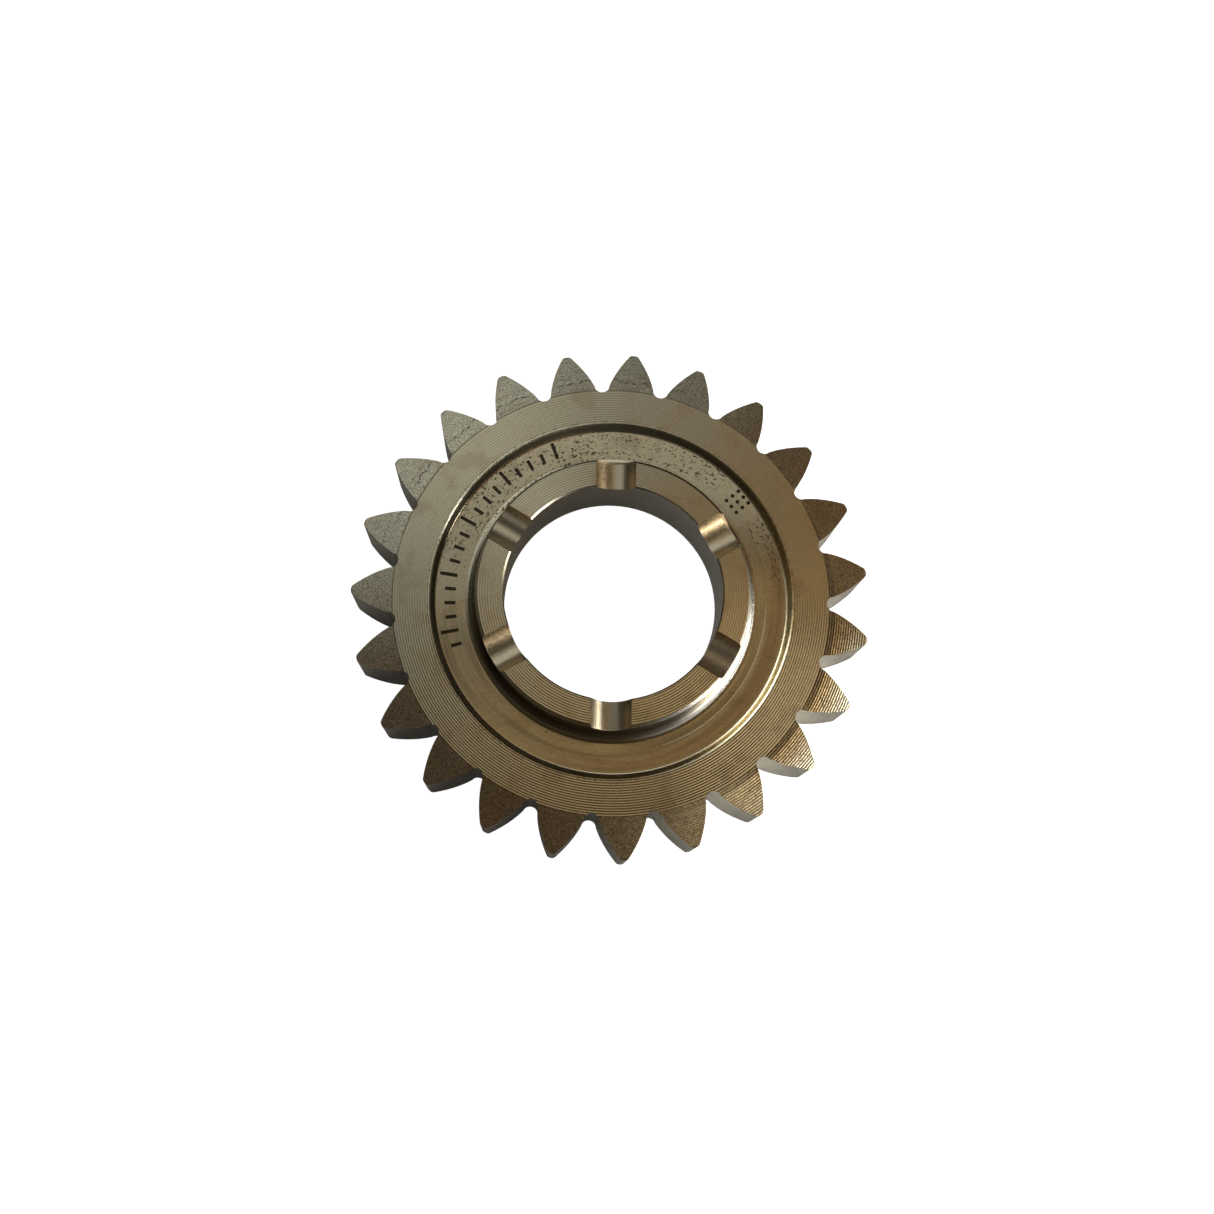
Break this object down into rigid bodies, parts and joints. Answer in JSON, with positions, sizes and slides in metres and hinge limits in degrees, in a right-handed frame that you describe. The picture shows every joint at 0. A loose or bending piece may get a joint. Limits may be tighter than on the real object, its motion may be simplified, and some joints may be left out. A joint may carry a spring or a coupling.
{
  "type": "spur gear wheel",
  "caption": "One-piece steel spur gear wheel with a raised hub collar, radial oil slots across the hub face, a recessed web and a plain through bore.",
  "frame": {"origin": "on the bore axis, in the plane of the back faces of the rim, which the wheel lies on", "axes": "+Z along the bore axis towards the raised hub face; +X and +Y lie midway between oil slots and on an oil slot, in that order"},
  "size_m": [0.0622, 0.0624, 0.013],
  "materials": {
    "turned_steel": "turned and ground bare steel with a light oil tint"
  },
  "bodies": {
    "root": {"gear_wheel": "turned_steel"}
  },
  "joints": []
}
